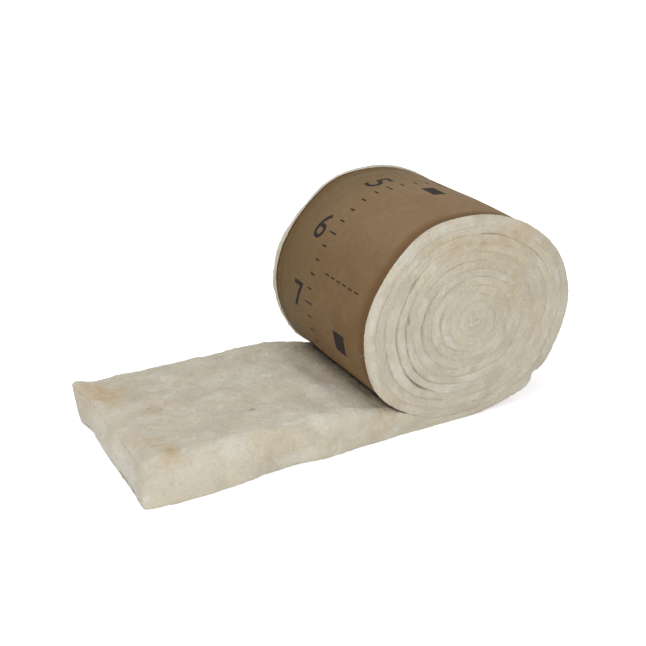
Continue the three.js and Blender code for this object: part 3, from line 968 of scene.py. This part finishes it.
def barMark(along, across, length, width):
    # a thin rectangular slab: a grid on top, the same below, walls between
    u = np.linspace(-0.5, 0.5, max(2, math.ceil(length / ink["pieces"]) + 1))
    v = np.linspace(-0.5, 0.5, max(2, math.ceil(width / ink["pieces"]) + 1))
    a, b = np.meshgrid(along + u * length, across + v * width, indexing="ij")
    top = printedOn(np.stack([a, b, 0 * a + ink["thickness"]], -1)).reshape(-1, 3)
    foot = printedOn(np.stack([a, b, 0 * a - ink["thickness"]], -1)).reshape(-1, 3)
    ids = np.arange(a.size).reshape(a.shape)
    ring = np.concatenate([ids[0], ids[1:, -1], ids[-1, :-1][::-1], ids[:-1, 0][::-1]])
    tris = [quads(ids[::-1]), quads(ids + a.size), quads(np.stack([ring, ring + a.size]))]
    return np.concatenate([top, foot]), np.concatenate(tris)


def printMarks():
    # every mark in one mesh, each with its own vertices
    marks = []
    for index in range(ink["numbers"]):
        along = ink["firstNumber"] + index * ink["numberStep"]
        marks.append(numberMark(str(index + 1), along, ink["numberMiddle"]))
    for index, along in enumerate(np.arange(*ink["ticks"])):
        length = ink["tickLengths"][index % 5 == 2]
        marks.append(barMark(along, ink["tickMiddle"], ink["tickWidth"], length))
    for across in np.arange(*ink["dashes"]):
        marks.append(barMark(ink["cutLine"], across, *ink["dashSize"]))
    for block in ink["blocks"]:
        marks.append(barMark(*block))
    starts = np.cumsum([0] + [len(points) for points, tris in marks])
    points = np.concatenate([points for points, tris in marks])
    tris = np.concatenate([tris + start for (points, tris), start in zip(marks, starts)])
    return makePiece("printed_marks", points, tris)


print("printing the marks")
inkPiece = printMarks()


def addNode(tree, kind, inputs=None, **settings):
    # one node; an input given as another node's output is linked, anything else is set as its value
    node = tree.nodes.new("ShaderNode" + kind)
    for key, value in settings.items():
        setattr(node, key, value)
    for key, value in (inputs or {}).items():
        if isinstance(value, bpy.types.NodeSocket):
            tree.links.new(value, node.inputs[key])
        else:
            node.inputs[key].default_value = value
    return node


def calculated(tree, operation, *values):
    return addNode(tree, "Math", dict(enumerate(values)), operation=operation).outputs[0]


def product(tree, first, second):
    return calculated(tree, "MULTIPLY", first, second)


def ramp(tree, value, low, high, start=0.0, end=1.0, kind="LINEAR"):
    # start up to low, end from high on, and even in between
    inputs = {"Value": value, "From Min": low, "From Max": high, "To Min": start, "To Max": end}
    return addNode(tree, "MapRange", inputs, interpolation_type=kind).outputs[0]


def mixed(tree, factor, first, second, blend="MIX"):
    # a Mix node's sockets for colours are its inputs 6 and 7 and its output 2
    node = addNode(tree, "Mix", {0: factor, 6: first, 7: second}, data_type="RGBA", blend_type=blend)
    return node.outputs[2]


def stretched(tree, vector, by):
    return addNode(tree, "VectorMath", {0: vector, 1: by}, operation="MULTIPLY").outputs[0]


def stored(tree, name, socket="Fac"):
    # a value kept on the mesh's points
    return addNode(tree, "Attribute", attribute_name=name).outputs[socket]


def newGroup(name, inputs, outputs):
    # an empty shader node group with named float or vector inputs and outputs
    group = bpy.data.node_groups.new(name, "ShaderNodeTree")
    for label, kind in inputs:
        group.interface.new_socket(label, in_out="INPUT", socket_type="NodeSocket" + kind)
    for label, kind in outputs:
        group.interface.new_socket(label, in_out="OUTPUT", socket_type="NodeSocket" + kind)
    return group, group.nodes.new("NodeGroupInput").outputs, group.nodes.new("NodeGroupOutput").inputs


def makeMottle():
    # patches: soft noise, cut to run from 0 below Low to 1 above High
    group, given, put = newGroup(
        "mottle",
        [("Vector", "Vector"), ("Scale", "Float"), ("Swirl", "Float"), ("Low", "Float"), ("High", "Float")],
        [("Mask", "Float")],
    )
    shape = {"Vector": given["Vector"], "Scale": given["Scale"], "Detail": 4.0, "Distortion": given["Swirl"]}
    noise = addNode(group, "TexNoise", shape).outputs[0]
    group.links.new(ramp(group, noise, given["Low"], given["High"], kind="SMOOTHSTEP"), put["Mask"])
    return group


def makeStrands():
    # crossing fibres: three noises, each stretched and turned its own way, and the strongest of them
    group, given, put = newGroup("strands", [("Vector", "Vector"), ("Scale", "Float")], [("Height", "Float")])
    lines = []
    for stretch, turn in (((0.16, 1, 1), 0.5), ((1, 0.16, 0.4), 0.2), ((0.5, 0.5, 0.12), -0.4)):
        place = {"Vector": given["Vector"], "Rotation": (turn, turn, turn), "Scale": stretch}
        turned = addNode(group, "Mapping", place).outputs[0]
        shape = {"Vector": turned, "Scale": given["Scale"], "Detail": 3.0, "Distortion": 0.8}
        lines.append(addNode(group, "TexNoise", shape).outputs[0])
    strongest = calculated(group, "MAXIMUM", calculated(group, "MAXIMUM", lines[0], lines[1]), lines[2])
    group.links.new(ramp(group, strongest, 0.42, 0.78), put["Height"])
    return group


mottle = makeMottle()
strands = makeStrands()


def mottled(tree, place, scale, low, high, swirl=0.4):
    # the mottle group, placed in a material with its own values
    node = addNode(tree, "Group", node_tree=mottle)
    tree.links.new(place, node.inputs["Vector"])
    for key, value in (("Scale", scale), ("Swirl", swirl), ("Low", low), ("High", high)):
        node.inputs[key].default_value = value
    return node.outputs[0]


def stranded(tree, place, scale):
    # the strands group, placed in a material with its own scale
    node = addNode(tree, "Group", node_tree=strands)
    tree.links.new(place, node.inputs["Vector"])
    node.inputs["Scale"].default_value = scale
    return node.outputs[0]


def newMaterial(name, surface):
    # a material with its Principled BSDF, which takes the values that are the same all over the surface
    material = bpy.data.materials.new(name)
    material.use_nodes = True
    shader = material.node_tree.nodes["Principled BSDF"]
    for key, value in surface.items():
        shader.inputs[key].default_value = value
    return material, material.node_tree, shader


woolFinish = {
    "cream": (0.600, 0.541, 0.420, 1),
    "grey": (0.530, 0.482, 0.378, 1),
    "white": (0.675, 0.655, 0.575, 1),
    "straw": (0.580, 0.470, 0.300, 1),
    "tan": (0.500, 0.350, 0.175, 1),
    "smudge": (0.210, 0.130, 0.058, 1),
    # painted shade in the crevice at the nip
    "creviceShade": (0.035, 0.016, 0.006, 1),
    # painted shade in the seams' valleys
    "seam": (0.380, 0.330, 0.250, 1),
    "surface": {
        "Roughness": 0.95,
        "Specular IOR Level": 0.15,
        "Sheen Weight": 0.25,
        "Sheen Roughness": 0.6,
        "Subsurface Weight": 0.2,
        "Subsurface Radius": (1.0, 0.85, 0.65),
        "Subsurface Scale": 0.006,
    },
}


def woolMaterial():
    material, tree, shader = newMaterial("glassWool", woolFinish["surface"])
    place = addNode(tree, "TexCoord").outputs["Object"]
    grain = stored(tree, "grain", "Vector")
    smudge = stored(tree, "smudge")
    flattened = stretched(tree, grain, (0.5, 1, 1))
    # cream and grey patches, paler and yellower ones over them
    slow = mottled(tree, grain, 11.0, 0.36, 0.64)
    patch = mottled(tree, flattened, 46.0, 0.45, 0.72)
    straw = mottled(tree, flattened, 60.0, 0.52, 0.78)
    colour = mixed(tree, slow, woolFinish["grey"], woolFinish["cream"])
    colour = mixed(tree, product(tree, patch, 0.55), colour, woolFinish["white"])
    colour = mixed(tree, product(tree, straw, 0.30), colour, woolFinish["straw"])
    # tan stains, and the painted shade along the nip, broken up by blotches
    blotch = mottled(tree, place, 48.0, 0.34, 0.62, swirl=0.7)
    spot = product(tree, stored(tree, "tan"), ramp(tree, blotch, 0.0, 1.0, 0.25, 0.85))
    colour = mixed(tree, spot, colour, woolFinish["tan"])
    # whiter wool, partly painted light on the tail's cut end and beside the nip
    paler = product(tree, stored(tree, "whiterWoolAndPaintedLight"), slow)
    colour = mixed(tree, product(tree, paler, 0.8), colour, woolFinish["white"])
    # smudges, drawn out along the blanket
    wipe = mottled(tree, stretched(tree, place, (0.22, 1, 1)), 75.0, 0.34, 0.62)
    soiled = calculated(tree, "MULTIPLY_ADD", smudge, 2.4, wipe)
    dirt = product(tree, ramp(tree, soiled, 0.9, 2.4), smudge)
    colour = mixed(tree, dirt, colour, woolFinish["smudge"])
    # painted shade: near-black in the crevice where the tail's top meets the turn over it
    colour = mixed(tree, product(tree, stored(tree, "creviceShade"), 0.92), colour, woolFinish["creviceShade"])
    # painted shade: darker the deeper a seam's valley sinks
    seamShading = ramp(tree, stored(tree, "sunk"), 0.001, 0.012, 0.0, 0.6)
    colour = mixed(tree, seamShading, colour, woolFinish["seam"])
    # the fibres' layers and strands shade it a little, and with tufts they roughen it
    layer = mottled(tree, stretched(tree, grain, (0.07, 1, 0.3)), 330.0, 0.35, 0.65)
    lines = product(tree, layer, stored(tree, "layered"))
    grainy = calculated(tree, "MULTIPLY_ADD", lines, 0.5, stranded(tree, place, 330.0))
    shade = ramp(tree, grainy, 0.0, 1.5, 0.90, 1.08)
    grey = addNode(tree, "CombineColor", {0: shade, 1: shade, 2: shade}).outputs[0]
    colour = mixed(tree, 1.0, colour, grey, "MULTIPLY")
    tree.links.new(colour, shader.inputs["Base Color"])
    tuft = mottled(tree, place, 170.0, 0.25, 0.75)
    height = calculated(tree, "MULTIPLY_ADD", tuft, 2.0, grainy)
    bump = addNode(tree, "Bump", {"Strength": 0.55, "Distance": 0.0009, "Height": height})
    tree.links.new(bump.outputs[0], shader.inputs["Normal"])
    return material


kraftFinish = {
    "brown": (0.181, 0.116, 0.055, 1),
    "light": (0.220, 0.146, 0.076, 1),
    "band": (0.135, 0.072, 0.030, 1),
    "edge": (0.080, 0.036, 0.013, 1),
    "olive": (0.110, 0.085, 0.038, 1),
    # painted light over the nip
    "paintedNipLight": (0.300, 0.180, 0.090, 1),
    # painted light on top of the roll
    "paintedTopLight": (0.285, 0.190, 0.108, 1),
    "fibre": (0.125, 0.072, 0.034, 1),
    # along the paper from the roll's lowest line: none up to the first length, all from the second on
    "shadeBeltFrom": (0.86, 0.98),  # painted shade: a darker belt on the side of the roll that faces the tail
    "shadeBeltTo": (1.15, 1.06),
    "paintedNipLightFrom": (1.14, 1.23),  # painted light: paler, warmer paper over the nip, where it lies in shade
    "paintedTopLightFrom": (0.98, 0.72),  # painted light on top of the roll
    # in from each edge: none from the first distance on, all nearer than the second, strength, colour
    # near side: painted shade where the paper rounds over the roll's end, and a painted shadow along the
    # wool's edge
    "nearEdge": ((0.030, 0.012, 0.80, "band"), (0.006, 0.001, 0.45, "edge")),
    "farEdge": ((0.034, 0.022, 0.65, "band"), (0.160, 0.060, 0.42, "olive"), (0.012, 0.005, 0.95, "edge")),
    "surface": {"Specular IOR Level": 0.08},
}


def kraftMaterial():
    material, tree, shader = newMaterial("kraftPaper", kraftFinish["surface"])
    sheet = addNode(tree, "UVMap").outputs[0]
    across, along = addNode(tree, "SeparateXYZ", {0: sheet}).outputs[:2]

    def stretch(key, kind="LINEAR"):
        return ramp(tree, along, *(arcAtRoll + length for length in kraftFinish[key]), kind=kind)

    slow = mottled(tree, sheet, 9.0, 0.35, 0.65)
    cloudy = mottled(tree, sheet, 70.0, 0.35, 0.70)
    streak = mottled(tree, stretched(tree, sheet, (1, 0.12, 1)), 160.0, 0.40, 0.72)
    fine = stranded(tree, sheet, 420.0)
    colour = mixed(tree, product(tree, slow, 0.8), kraftFinish["brown"], kraftFinish["light"])
    colour = mixed(tree, product(tree, cloudy, 0.18), colour, kraftFinish["band"])
    colour = mixed(tree, product(tree, streak, 0.22), colour, kraftFinish["light"])
    # painted shade on the side of the roll that faces the tail
    shadeBelt = product(tree, stretch("shadeBeltFrom", "SMOOTHSTEP"), stretch("shadeBeltTo", "SMOOTHSTEP"))
    colour = mixed(tree, product(tree, shadeBelt, 0.24), colour, kraftFinish["band"])
    # painted light: paler, warmer paper over the nip
    colour = mixed(tree, product(tree, stretch("paintedNipLightFrom"), 0.40), colour, kraftFinish["paintedNipLight"])
    # painted light on top of the roll
    colour = mixed(tree, product(tree, stretch("paintedTopLightFrom"), 0.50), colour, kraftFinish["paintedTopLight"])
    # the folded flanges are darker, and their very edges darkest; on the near side that is painted shade
    # where the paper rounds over the roll's end, and a painted shadow along the wool's edge
    toNear = calculated(tree, "ADD", across, paperEdge[-1])
    toFar = calculated(tree, "SUBTRACT", paperEdge[1], across)
    for distance, key in ((toNear, "nearEdge"), (toFar, "farEdge")):
        for none, whole, strength, finish in kraftFinish[key]:
            band = product(tree, ramp(tree, distance, none, whole), strength)
            colour = mixed(tree, band, colour, kraftFinish[finish])
    colour = mixed(tree, ramp(tree, fine, 0.62, 0.95, 0.0, 0.30), colour, kraftFinish["fibre"])
    tree.links.new(colour, shader.inputs["Base Color"])
    bump = addNode(tree, "Bump", {"Strength": 0.35, "Distance": 0.00025, "Height": fine})
    tree.links.new(bump.outputs[0], shader.inputs["Normal"])
    tree.links.new(ramp(tree, cloudy, 0.0, 1.0, 0.62, 0.78), shader.inputs["Roughness"])
    return material


inkFinish = {
    "black": (0.028, 0.022, 0.019, 1),
    "worn": (0.080, 0.036, 0.013, 1),
    "surface": {"Roughness": 0.85, "Specular IOR Level": 0.15},
}


def inkMaterial():
    material, tree, shader = newMaterial("printInk", inkFinish["surface"])
    place = addNode(tree, "TexCoord").outputs["Object"]
    worn = product(tree, mottled(tree, place, 260.0, 0.55, 0.85), stranded(tree, place, 420.0))
    colour = mixed(tree, product(tree, worn, 0.6), inkFinish["black"], inkFinish["worn"])
    tree.links.new(colour, shader.inputs["Base Color"])
    return material


fibreFinish = {
    "cream": (0.560, 0.500, 0.390, 1),
    "white": (0.680, 0.640, 0.550, 1),
    "surface": {"Roughness": 0.7},
}


def fibreMaterial():
    material, tree, shader = newMaterial("looseFibre", fibreFinish["surface"])
    place = addNode(tree, "TexCoord").outputs["Object"]
    colour = mixed(tree, mottled(tree, place, 60.0, 0.35, 0.65), fibreFinish["cream"], fibreFinish["white"])
    tree.links.new(colour, shader.inputs["Base Color"])
    return material


print("mixing the finishes")
woolPiece.data.materials.append(woolMaterial())
fibrePiece.data.materials.append(fibreMaterial())
facingPiece.data.materials.append(kraftMaterial())
inkPiece.data.materials.append(inkMaterial())

camera = {
    "place": (-1.2059, -1.8069, 1.0900),  # from the roll's lowest line
    "forward": (0.4388, 0.8031, -0.4031),
    "lens": 62.84,  # millimetres, on a sensor 36 wide
}

studio = {
    "ambient": 0.58,
    "lamps": (
        # place, width and height, watts
        ((-0.5, -0.1, 2.7), (2.4, 2.4), 26),
        ((-0.5, -3.0, 0.7), (2.4, 1.4), 22),
        ((-1.9, -1.6, 0.5), (1.2, 0.8), 10),
        ((-0.6, 3.0, 1.2), (1.8, 1.6), 5),
    ),
    "lampsFace": (0, 0, 0.15),
    "floorSize": 50,
    "floor": {"Base Color": (0.80, 0.80, 0.80, 1), "Roughness": 0.9, "Emission Color": (1, 1, 1, 1)},
    "floorGlow": (0.60, 0.80),  # how much the floor glows by itself to the eye, near the object and far off
    "glowReach": (0.7, 3.0),  # distances from the middle between which that changes
}


def setCamera():
    # at its place from the roll's lowest line, looking along forward
    data = bpy.data.cameras.new("camera")
    data.lens = camera["lens"]
    data.sensor_width = 36
    eye = bpy.data.objects.new("camera", data)
    bpy.context.scene.collection.objects.link(eye)
    eye.location = Vector(camera["place"]) + Vector((rollX, 0, 0))
    eye.rotation_euler = Vector(camera["forward"]).to_track_quat("-Z", "Y").to_euler()
    bpy.context.scene.camera = eye


def seenDirectly(tree):
    # 1 for rays from the camera, a mirror or a clear pane, 0 for light on the object
    path = addNode(tree, "LightPath").outputs
    mirrored = calculated(tree, "MAXIMUM", path["Is Camera Ray"], path["Is Glossy Ray"])
    return calculated(tree, "MAXIMUM", mirrored, path["Is Transmission Ray"])


def lightScene():
    # a white world, dimmer to the object than to the eye, and the softboxes
    world = bpy.data.worlds.new("studio")
    bpy.context.scene.world = world
    world.use_nodes = True
    tree = world.node_tree
    background = tree.nodes["Background"]
    background.inputs["Color"].default_value = (1, 1, 1, 1)
    strength = addNode(tree, "Mix", {0: seenDirectly(tree), 2: studio["ambient"], 3: 1.0})
    tree.links.new(strength.outputs[0], background.inputs["Strength"])
    for index, (place, size, power) in enumerate(studio["lamps"]):
        data = bpy.data.lights.new(f"softbox{index}", "AREA")
        data.shape = "RECTANGLE"
        data.size, data.size_y = size
        data.energy = power
        lamp = bpy.data.objects.new(f"softbox{index}", data)
        lamp.location = place
        aim = Vector(studio["lampsFace"]) - Vector(place)
        lamp.rotation_euler = aim.to_track_quat("-Z", "Y").to_euler()
        bpy.context.scene.collection.objects.link(lamp)


def layFloor():
    # a flat square that is white to the eye and still takes the object's shadow
    half = studio["floorSize"] / 2
    corners = [(-half, -half, 0), (half, -half, 0), (half, half, 0), (-half, half, 0)]
    mesh = bpy.data.meshes.new("floor")
    mesh.from_pydata(corners, [], [(0, 1, 2, 3)])
    floor = bpy.data.objects.new("floor", mesh)
    bpy.context.scene.collection.objects.link(floor)
    material, tree, shader = newMaterial("studioFloor", studio["floor"])
    place = addNode(tree, "TexCoord").outputs["Object"]
    distance = addNode(tree, "VectorMath", {0: place}, operation="LENGTH").outputs["Value"]
    glow = ramp(tree, distance, *studio["glowReach"], *studio["floorGlow"])
    tree.links.new(product(tree, seenDirectly(tree), glow), shader.inputs["Emission Strength"])
    floor.data.materials.append(material)


print("lighting")
setCamera()
lightScene()
layFloor()
bpy.context.scene.view_settings.view_transform = "Standard"
